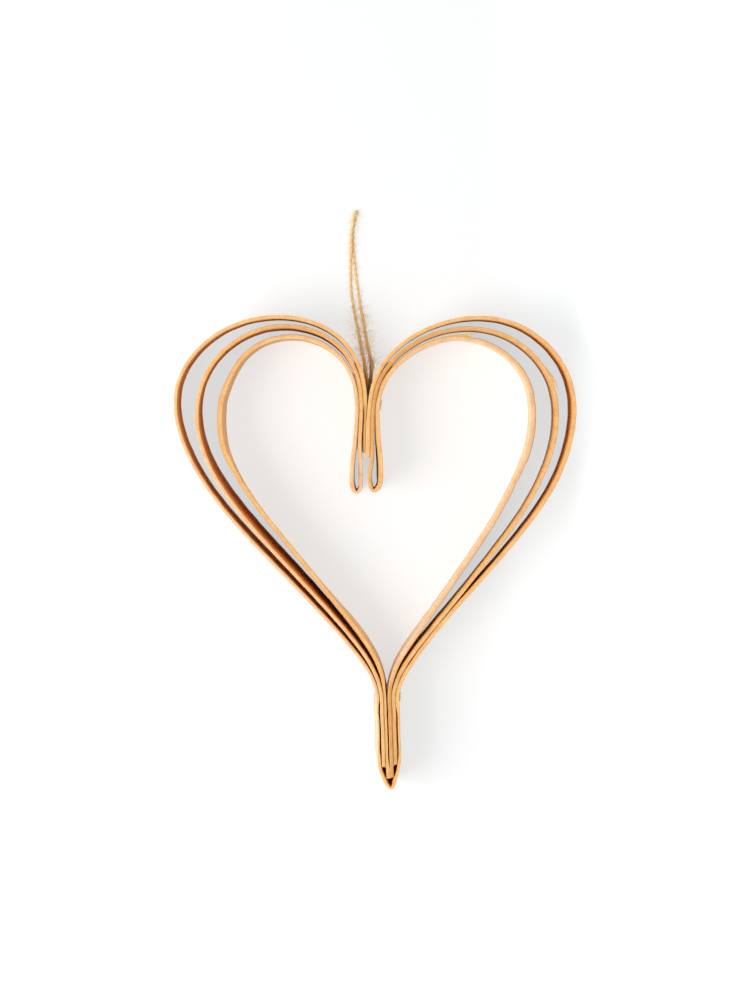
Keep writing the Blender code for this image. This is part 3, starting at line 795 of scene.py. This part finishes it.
def wooden_strip(name, strip, picked, halves, settings, finishes):
    """One strip of wood along its front and back edge, with worn corners and its two differing sides."""
    edges = strip[0][picked], strip[1][picked]
    normals = [headings(edge)[1] for edge in edges]
    run = run_of(edges[0])
    corner = settings.corner / MM
    width = settings.width / MM
    rows = []
    closed_section = SECTION + SECTION[:1]
    for share, set_back, height, _ in closed_section:
        pale_way = math.copysign(1.0, share * PALE_SIDES[name])
        sides = []
        for k, edge in enumerate(edges):
            half = halves[k][0 if share * PALE_SIDES[name] > 0 else 1]
            half = np.maximum(half + worn_by(name, run, math.copysign(1, share), k == 0), THINNEST_HALF)
            across = abs(share) * half - set_back * corner
            if abs(share) == 1.0:
                across = across + waver(run, STRIP_SEEDS[name] + int(share), *SIDE_WAVE)
            sides.append(edge + normals[k] * (pale_way * across)[:, None])
        place = sides[1] + (sides[0] - sides[1]) * height
        z = np.full(len(run), height * width)
        if height > FRONT_FROM:
            z = z - np.abs(waver(run, STRIP_SEEDS[name] + 7, *FRONT_WAVE)) - FRONT_DROP
        rows.append(np.column_stack([place, z]) * MM)
    rows = np.array(rows)
    section = [(0.5 + 0.5 * share, height) for share, _, height, _ in closed_section]
    shape = bmesh.new()
    slots = [slot for *_, slot in closed_section]
    rolled(shape, rows, run * MM, run_of(rows.mean(axis=1)), slots, section)
    return joined_mesh(f"wooden_{name}", shape, finishes)


def torn_splinter(name, places, width, depth, finish):
    """A thin splinter with a free point, as tall as its depth at the root and lower towards the point."""
    line = natural_spline(places, SPLINE_STEP)[::3]
    normal = headings(line)[1]
    run = run_of(line[:, :2])
    half = np.maximum(line[:, 2], SPLINTER_THINNEST) + waver(run, 3, *SPLINTER_WAVE)
    low = width - SPLINTER_FOOT - depth * (1.0 - SPLINTER_TAPER * run / run[-1])
    rows = []
    for share, height in SPLINTER_SECTION + SPLINTER_SECTION[:1]:
        place = line[:, :2] + normal * (share * half)[:, None]
        rows.append(np.column_stack([place, low + (width - SPLINTER_TOP - low) * height]) * MM)
    shape = bmesh.new()
    count = len(rows)
    rolled(shape, np.array(rows), run * MM, np.linspace(0.0, 0.006, count), section=[(0.8, 1.0)] * count)
    return joined_mesh(name, shape, [finish])


def wired(tree, socket, value):
    """Gives an input another node's output, a number, or a vector or colour of three numbers."""
    if isinstance(value, bpy.types.NodeSocket):
        tree.links.new(value, socket)
    else:
        socket.default_value = (*value, 1.0) if socket.type == "RGBA" else value


def fed(tree, made, **values):
    """A node with new values. Each goes to the node's own setting or, by its name, to its input."""
    for key, value in values.items():
        if hasattr(made, key):
            setattr(made, key, value)
        else:
            wired(tree, made.inputs[key.replace("_", " ")], value)
    return made


def node(tree, kind, **values):
    return fed(tree, tree.nodes.new(kind), **values)


def new_material(name):
    made = bpy.data.materials.new(name)
    made.use_nodes = True
    tree = made.node_tree
    return made, tree, tree.nodes["Principled BSDF"]


def laid_out(tree):
    """Places the nodes in columns, each to the left of those that it feeds."""
    column = {made.name: 0 for made in tree.nodes}
    for _ in tree.nodes:
        for link in tree.links:
            column[link.from_node.name] = max(column[link.from_node.name], column[link.to_node.name] + 1)
    filled = {}
    for name, at in column.items():
        filled[at] = filled.get(at, 0) + 1
        tree.nodes[name].location = (-260 * at, -340 * filled[at])


def blend_of(tree, kind, share, first, second):
    """A colour mix of two sockets or colours, by a socket or a number."""
    made = node(tree, "ShaderNodeMix", data_type="RGBA", blend_type=kind)
    for index, value in ((0, share), (6, first), (7, second)):
        wired(tree, made.inputs[index], value)
    return made.outputs[2]


def maths_of(tree, operation, first, second=0.0):
    """The result of one operation on two sockets or numbers."""
    made = node(tree, "ShaderNodeMath", operation=operation)
    wired(tree, made.inputs[0], first)
    wired(tree, made.inputs[1], second)
    return made.outputs["Value"]


def ranged_of(tree, value, ends, results=(0.0, 1.0), interpolation="LINEAR"):
    """A value that goes from the first to the second result between two ends."""
    made = node(
        tree, "ShaderNodeMapRange", interpolation_type=interpolation, Value=value, From_Min=ends[0],
        From_Max=ends[1], To_Min=results[0], To_Max=results[1],
    )
    return made.outputs["Result"]


def noise_of(tree, vector, scale, detail, roughness=0.5):
    made = node(tree, "ShaderNodeTexNoise", Vector=vector, Scale=scale, Detail=detail, Roughness=roughness)
    return made.outputs["Fac"]


def mapped_by(tree, vector, **values):
    return node(tree, "ShaderNodeMapping", Vector=vector, **values).outputs["Vector"]


def ramp_of(tree, value, stops):
    """A colour ramp through the stops, each a position and a colour."""
    made = node(tree, "ShaderNodeValToRGB", Fac=value)
    elements = made.color_ramp.elements
    while len(elements) < len(stops):
        elements.new(0.5)
    for element, (at, rgb) in zip(elements, stops):
        element.position = at
        element.color = (*rgb, 1.0)
    return made.outputs["Color"]


def share_along(tree, uv, length):
    """How far along its piece a place lies, from 0 to 1, where the UV map's first value is in metres."""
    run = node(tree, "ShaderNodeSeparateXYZ", Vector=uv)
    return maths_of(tree, "DIVIDE", run.outputs["X"], length)


def bumped(tree, shader, height, strength, distance):
    """Gives the shader small bumps by a height."""
    bump = node(tree, "ShaderNodeBump", Strength=strength, Distance=distance, Height=height)
    fed(tree, shader, Normal=bump.outputs["Normal"])


def wood_material(name, tones, length, tint, glow, surface):
    """Straight-grained wood. Its tones change along the strip and, by a tint, across the section; on the pale
    and the dark side that tint is painted shade, darker towards the table.
    """
    made, tree, shader = new_material(name)
    rough, gloss, contrast, relief = surface
    along = node(tree, "ShaderNodeUVMap", uv_map="along").outputs["UV"]
    section_map = node(tree, "ShaderNodeUVMap", uv_map="section").outputs["UV"]
    section = node(tree, "ShaderNodeSeparateXYZ", Vector=section_map)
    axis, stops = tint
    base = ramp_of(tree, share_along(tree, along, length), tones)
    colour = blend_of(tree, "MULTIPLY", 1.0, base, ramp_of(tree, section.outputs[axis], stops))
    grain = {}
    for key, (stretch, scale, detail, ends, darkest, lightest) in GRAIN.items():
        vector = mapped_by(tree, along, Scale=(stretch, 1.0, 1.0))
        grain[key] = ranged_of(tree, noise_of(tree, vector, scale, detail, 0.6), ends)
        dark = tuple(1.0 - contrast * c for c in darkest)
        layer = blend_of(tree, "MIX", grain[key], dark, lightest)
        colour = blend_of(tree, "MULTIPLY", 1.0, colour, layer)
    fed(
        tree, shader, Base_Color=colour, Roughness=rough, Specular_IOR_Level=gloss, Subsurface_Weight=glow,
        Subsurface_Radius=(1.0, 0.45, 0.18), Subsurface_Scale=0.0016,
    )
    bumped(tree, shader, blend_of(tree, "MIX", 0.5, grain["fibre"], grain["mottle"]), relief, 0.00006)
    laid_out(tree)
    return made


def steel_material(steel):
    """Drawn wire, a little dull, with fine scratches."""
    made, tree, shader = new_material("bare_wire")
    place = node(tree, "ShaderNodeTexCoord")
    noise = noise_of(tree, place.outputs["Object"], 2600.0, 3.0)
    dull = tuple(0.8 * c for c in steel)
    fed(tree, shader, Base_Color=blend_of(tree, "MIX", noise, dull, steel), Metallic=1.0, Roughness=0.5)
    bumped(tree, shader, noise, 0.2, 0.00004)
    laid_out(tree)
    return made


def twine_material(light, dark, length):
    """Spun bast fibre: fine hairs that run slantwise round each ply, darkened with painted shade in the
    notch.
    """
    made, tree, shader = new_material("spun_fibre")
    uv = node(tree, "ShaderNodeTexCoord").outputs["UV"]
    slant = mapped_by(tree, uv, Rotation=(0.0, 0.0, 0.9), Scale=(0.10, 1.0, 1.0))
    hair = noise_of(tree, slant, 4200.0, 4.0, 0.6)
    spun = blend_of(tree, "MIX", ranged_of(tree, hair, (0.36, 0.64)), dark, light)
    pale = tuple(min(1.0, 1.15 * c) for c in light)
    patched = blend_of(tree, "MIX", noise_of(tree, uv, 260.0, 2.0), spun, pale)
    half = blend_of(tree, "MIX", 0.6, patched, spun)
    # Painted shade: the ramp darkens the twine towards both ends, where it goes down into the notch
    shade_and_fade = ramp_of(tree, share_along(tree, uv, length), TWINE_SHADE_AND_FADE)
    fed(
        tree, shader, Base_Color=blend_of(tree, "MULTIPLY", 1.0, half, shade_and_fade), Roughness=0.82,
        Sheen_Weight=0.5, Sheen_Roughness=0.6, Sheen_Tint=(1.0, 0.78, 0.50), Subsurface_Weight=0.35,
        Subsurface_Radius=(1.0, 0.6, 0.3), Subsurface_Scale=0.0006,
    )
    bumped(tree, shader, hair, 0.5, 0.00012)
    laid_out(tree)
    return made


def staple_place(strips, line, height):
    """Where the middle of a staple's crown lies, the way the crown runs, and the way its legs go."""
    side, layer = line
    front, back, _ = strips["outer_strip" if layer == 0 else f"{side}_strip"]
    middle = (front + back) / 2.0
    place = in_notch(side, layer, height) if height > 0 else in_stem(side, layer, height)
    aim = DRAWING_SCALE * (np.array(place[:2]) - np.array(DRAWING_CENTRE))
    at = int(np.argmin(np.linalg.norm(middle - aim, axis=1)))
    along = headings(middle)[0][at]
    into_stack = np.array([-along[1], along[0]])
    if into_stack[0] * SIDES[side] > 0:
        into_stack = -into_stack
    return middle[at], along, into_stack


def tube_rows(path, radius_of, turn_of, sides):
    """Rows of a tube along a 3D path. The radius may differ round the section, which turns along the path."""
    ahead = np.gradient(path, axis=0)
    ahead /= np.linalg.norm(ahead, axis=1)[:, None]
    across = [Vector((0.0, 0.0, 1.0)).cross(Vector(ahead[0])).normalized()]
    for i in range(1, len(path)):
        turned = Vector(ahead[i - 1]).rotation_difference(Vector(ahead[i])) @ across[-1]
        across.append((turned - Vector(ahead[i]) * turned.dot(Vector(ahead[i]))).normalized())
    across = np.array(across)
    up = np.cross(ahead, across)
    rows = []
    for k in range(sides + 1):
        angle = math.tau * (k % sides) / sides
        radius = radius_of(angle)
        turned = angle + turn_of
        off = across * (radius * np.cos(turned))[:, None] + up * (radius * np.sin(turned))[:, None]
        rows.append(path + off)
    return np.array(rows)


def strand(shape, centre, radii, run, sides, around):
    """A round tube in the shape, along its centre line."""
    rows = tube_rows(centre, lambda angle: radii, 0.0, sides)
    rolled(shape, rows, run, np.linspace(0.0, around, sides + 1))


class HEART_OT_strips(bpy.types.Operator):
    """Bends the three strips of wood into the heart"""

    bl_idname = "heart.strips"
    bl_label = "Wooden strips"

    def execute(self, context):
        settings = context.scene.heart_strips
        strips = lines_of_strips()
        longest = settings.length_step / MM
        picked = {name: stations(parts[0], longest) for name, parts in strips.items()}
        reach = half_thicknesses(strips, picked)
        # Painted shade: the pale and the dark side darken towards the table, where the strips shade each
        # other; the cut edges' tint is the wood's own
        deep = tuple(d / b for d, b in zip(settings.bark_painted_shade, settings.bark))
        half_painted_shade = tuple((1.0 + d) / 2.0 for d in deep)
        tints_and_painted_shade = {
            "edge": ("X", EDGE_TINT),
            "pale": ("Y", PALE_PAINTED_SHADE),
            "bark": ("Y", ((0.0, deep), (0.55, half_painted_shade), (0.93, WHITE), (1.0, WHITE))),
        }
        for name, strip in strips.items():
            length = float(run_of(strip[0])[-1]) * MM
            finishes = []
            for face, tones in TONES[name].items():
                stops = [(at, tuple(getattr(settings, tone))) for at, tone in tones]
                finishes.append(
                    wood_material(f"{name}_{face}", stops, length, tints_and_painted_shade[face], settings.glow, SURFACES[face])
                )
            halves = (reach[name, 0], reach[name, 1])
            dressed = wooden_strip(name, strip, picked[name], halves, settings, finishes)
            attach(dressed, "root")
            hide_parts(name)
        # The splinters have the finish of the last strip's pale side
        pale_finish = finishes[1]
        for name, (places, depth) in SPLINTERS.items():
            splinter = torn_splinter(name, places, settings.width / MM, depth, pale_finish)
            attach(splinter, "root")
        return {"FINISHED"}


class HEART_OT_staples(bpy.types.Operator):
    """Bends the wire staples that hold the strips together"""

    bl_idname = "heart.staples"
    bl_label = "Wire staples"

    def execute(self, context):
        settings = context.scene.heart_staples
        strips = lines_of_strips()
        steel = steel_material(tuple(settings.steel))
        wire = settings.wire / MM
        half = (settings.crown / MM - wire) / 2.0
        bend = wire * BEND_RADIUS
        reach = wire / 2.0 + LAYER_GAP + STRIP_THICKNESS / 2.0
        leg = reach + 2.0 * PITCH + STRIP_THICKNESS / 2.0 - LEG_SET_BACK
        for name, (line, height) in STAPLES.items():
            middle, along, into_stack = staple_place(strips, line, height)
            start = middle - into_stack * reach
            path = [start - along * half + into_stack * leg, start - along * half + into_stack * leg / 2.0]
            for turn in np.linspace(0.0, math.pi / 2.0, BEND_STEPS):
                off = along * (half - bend + bend * math.cos(turn))
                path.append(start - off + into_stack * bend * (1.0 - math.sin(turn)))
            path += [start]
            path += [2.0 * ((p - start) @ into_stack) * into_stack + 2.0 * start - p for p in path[-2::-1]]
            centre = np.array([(x * MM, y * MM, STAPLE_HEIGHT * MM) for x, y in path])
            shape = bmesh.new()
            radii = np.full(len(centre), wire / 2.0 * MM)
            strand(shape, centre, radii, run_of(centre), WIRE_SIDES, wire * math.pi * MM)
            made = joined_mesh(f"bent_{name}", shape, [steel])
            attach(made, "root")
            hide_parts(name)
        return {"FINISHED"}


class HEART_OT_twine(bpy.types.Operator):
    """Lays the loop of two-ply twine with its loose hairs"""

    bl_idname = "heart.twine"
    bl_label = "Twine"

    def execute(self, context):
        settings = context.scene.heart_twine
        line = natural_spline(TWINE_ROUTE, SPLINE_STEP) * (DRAWING_SCALE, DRAWING_SCALE, 1.0)
        run = run_of(line)
        even = np.linspace(0.0, run[-1], round(run[-1] / TWINE_STEP) + 1)
        path = np.column_stack([np.interp(even, run, line[:, k]) for k in range(3)])
        path[:, :2] -= DRAWING_SCALE * np.array(DRAWING_CENTRE)
        path[:, 2] = np.maximum(path[:, 2], settings.diameter / MM / 2.0)
        path *= MM
        twist = even / (settings.lay / MM) * math.tau
        ply = settings.diameter * PLY_RADIUS
        apart = settings.diameter * PLY_OFFSET
        plump = 1.0 + waver(even, 5, *TWINE_WAVE)

        def radius_of(angle):
            toward = np.cos(angle) * apart
            return (abs(toward) + math.sqrt(ply**2 - (math.sin(angle) * apart) ** 2)) * plump

        rows = tube_rows(path, radius_of, twist, TWINE_SIDES)
        rows[:, :, 2] = np.maximum(rows[:, :, 2], LOWEST)
        shape = bmesh.new()
        rolled(shape, rows, even * MM, np.linspace(0.0, settings.diameter * math.pi, TWINE_SIDES + 1))
        spun = twine_material(tuple(settings.fibre_light), tuple(settings.fibre_dark), float(even[-1]) * MM)
        twine = joined_mesh("two_ply_twine", shape, [spun])
        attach(twine, "root")
        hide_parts("hanging_twine")
        hairs = self.hairs(settings, path, spun)
        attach(hairs, "root")
        return {"FINISHED"}

    def hairs(self, settings, path, finish):
        """Loose hairs that stand off the twine in slow curls, more of them where it rubs the strips."""
        draw = random.Random(11)
        shape = bmesh.new()
        ahead = np.gradient(path, axis=0)
        ahead /= np.linalg.norm(ahead, axis=1)[:, None]
        last = len(path) - BARE_END
        frayed = [i for i in range(BARE_END, last) if FRAYED[0] < path[i][1] < FRAYED[1]]
        matted = [i for i in range(len(path)) if path[i][1] < MATTED_BELOW]
        up = Vector((0.0, 0.0, 1.0))
        # The matted fibres take the twine's colour at their start, with its painted shade in the notch
        for _ in range(settings.fibres):
            at = draw.choice((matted[0], matted[-1], *matted, *matted))
            self.matted_fibre(shape, draw, Vector(path[at]), TWINE_STEP * at * MM)
        for _ in range(settings.hairs):
            at = draw.choice(frayed) if draw.random() < FRAYED_SHARE else draw.randrange(BARE_END, last)
            along = Vector(ahead[at]) * draw.choice((-1.0, 1.0))
            side = along.cross(up).normalized()
            turn = draw.uniform(-0.5, math.pi + 0.5)
            out = (side * math.cos(turn) + up * math.sin(turn)).normalized()
            heading = (out * draw.uniform(0.15, 0.7) + along * draw.uniform(0.7, 1.5)).normalized()
            curl = Vector((draw.gauss(0, 1), draw.gauss(0, 1), draw.gauss(0, 0.5))) * CURL
            length = draw.uniform(HAIR_LENGTH[0], FRAYED_LENGTH if at in frayed else HAIR_LENGTH[1])
            points = [Vector(path[at]) + out * settings.diameter * 0.3]
            for _ in range(HAIR_STEPS):
                heading = (heading + curl).normalized()
                curl += Vector((draw.gauss(0, 1), draw.gauss(0, 1), draw.gauss(0, 1))) * CURL_CHANGE
                following = points[-1] + heading * length / HAIR_STEPS
                following.z = max(following.z, 3.0 * LOWEST)
                points.append(following)
            radii = np.linspace(*HAIR_RADII, len(points))
            run = TWINE_STEP * at * MM + np.linspace(0.0, length, len(points))
            strand(shape, np.array([tuple(p) for p in points]), radii, run, STRAND_SIDES, 0.0002)
        return joined_mesh("twine_hairs", shape, [finish])

    def matted_fibre(self, shape, draw, start, run):
        """One fibre that lies along the others, down into the notch between the strips."""
        start = start + Vector((draw.gauss(0, MATTED_SPREAD[0]), 0.0, draw.gauss(0, MATTED_SPREAD[1])))
        down = (Vector((*MATTED_TARGET, start.z)) - start).normalized()
        down += Vector((draw.gauss(0, MATTED_SLANT[0]), 0.0, draw.gauss(0, MATTED_SLANT[1])))
        down = down.normalized()
        length = draw.uniform(*MATTED_LENGTH)
        steps = np.linspace(0.0, 1.0, MATTED_STEPS)
        centre = np.array([tuple(start + down * length * t) for t in steps])
        centre[:, 0] += MATTED_WAVE * np.sin(steps * draw.uniform(2.0, 6.0))
        radii = np.linspace(*MATTED_RADII, MATTED_STEPS)
        strand(shape, centre, radii, np.full(MATTED_STEPS, run), STRAND_SIDES, 0.0004)


class HEART_OT_stage(bpy.types.Operator):
    """Sets the white table, the soft light and the white room"""

    bl_idname = "heart.stage"
    bl_label = "Stage"

    def execute(self, context):
        settings = context.scene.heart_stage
        scene = context.scene
        scene.view_settings.view_transform = "Standard"
        shape = bmesh.new()
        bmesh.ops.create_grid(shape, x_segments=2, y_segments=2, size=TABLE_SIZE)
        mesh = bpy.data.meshes.new("white_table")
        shape.to_mesh(mesh)
        shape.free()
        table = bpy.data.objects.new("white_table", mesh)
        scene.collection.objects.link(table)
        made, tree, shader = new_material("table_paper")
        place = node(tree, "ShaderNodeTexCoord").outputs["Object"]
        white = tuple(settings.table)
        shade = tuple(0.99 * c for c in white)
        colour = blend_of(tree, "MIX", noise_of(tree, place, 900.0, 3.0), white, shade)
        axes = node(tree, "ShaderNodeSeparateXYZ", Vector=place)
        off_middle = maths_of(tree, "ABSOLUTE", axes.outputs["X"])
        # Painted light: the glow changes with the distance from the heart's middle line, lighter between the
        # strips and outside the heart, where their shade falls
        level = settings.table_light
        for ends, factors in TABLE_PAINTED_LIGHT_RAMPS:
            ranged = ranged_of(tree, off_middle, ends, factors, "SMOOTHSTEP")
            level = maths_of(tree, "MULTIPLY", ranged, level)
        fed(
            tree, shader, Base_Color=colour, Roughness=0.9, Specular_IOR_Level=0.1, Emission_Color=TABLE_GLOW,
            Emission_Strength=level,
        )
        laid_out(tree)
        mesh.materials.append(made)
        light = bpy.data.lights.new("key_light", "AREA")
        light.size = KEY_LIGHT_SIZE
        light.energy = settings.key_power
        lamp = bpy.data.objects.new("key_light", light)
        lamp.location = KEY_LIGHT_PLACE
        lamp.rotation_euler = (-Vector(KEY_LIGHT_PLACE)).to_track_quat("-Z", "Y").to_euler()
        scene.collection.objects.link(lamp)
        world = bpy.data.worlds.new("white_room")
        world.use_nodes = True
        fed(world.node_tree, world.node_tree.nodes["Background"], Color=WHITE, Strength=settings.room_light)
        scene.world = world
        return {"FINISHED"}


class HEART_OT_camera(bpy.types.Operator):
    """Looks down on the heart as the photograph does"""

    bl_idname = "heart.camera"
    bl_label = "Camera"

    def execute(self, context):
        settings = context.scene.heart_stage
        data = bpy.data.cameras.new("camera")
        data.lens = settings.lens
        data.sensor_width = SENSOR_WIDTH
        data.clip_end = CLIP_END
        camera = bpy.data.objects.new("camera", data)
        place = Vector((*CAMERA_PLACE, settings.camera_height))
        aim = Vector(CAMERA_AIM)
        camera.location = place
        camera.rotation_euler = (-math.atan2(place.y - aim.y, place.z - aim.z), 0.0, 0.0)
        context.scene.collection.objects.link(camera)
        context.scene.camera = camera
        return {"FINISHED"}


class HEART_PT_panel(bpy.types.Panel):
    """Lists the heart's pieces and their settings"""

    bl_idname = "HEART_PT_panel"
    bl_label = "Heart ornament"
    bl_space_type = "VIEW_3D"
    bl_region_type = "UI"
    bl_category = "Heart"

    def draw(self, context):
        scene = context.scene
        for group in (scene.heart_strips, scene.heart_staples, scene.heart_twine, scene.heart_stage):
            box = self.layout.box()
            for key in group.__annotations__:
                box.prop(group, key)
        for operator in OPERATORS:
            self.layout.operator(operator.bl_idname)


OPERATORS = (HEART_OT_camera, HEART_OT_twine, HEART_OT_strips, HEART_OT_staples, HEART_OT_stage)
CLASSES = (StripSettings, StapleSettings, TwineSettings, StageSettings, *OPERATORS, HEART_PT_panel)


def register():
    for cls in CLASSES:
        bpy.utils.register_class(cls)
    bpy.types.Scene.heart_strips = bpy.props.PointerProperty(type=StripSettings)
    bpy.types.Scene.heart_staples = bpy.props.PointerProperty(type=StapleSettings)
    bpy.types.Scene.heart_twine = bpy.props.PointerProperty(type=TwineSettings)
    bpy.types.Scene.heart_stage = bpy.props.PointerProperty(type=StageSettings)


def unregister():
    del bpy.types.Scene.heart_strips
    del bpy.types.Scene.heart_staples
    del bpy.types.Scene.heart_twine
    del bpy.types.Scene.heart_stage
    for cls in reversed(CLASSES):
        bpy.utils.unregister_class(cls)


def main():
    register()
    bpy.ops.heart.camera()
    bpy.ops.heart.twine()
    bpy.ops.heart.strips()
    bpy.ops.heart.staples()
    bpy.ops.heart.stage()


if __name__ == "__main__":
    main()
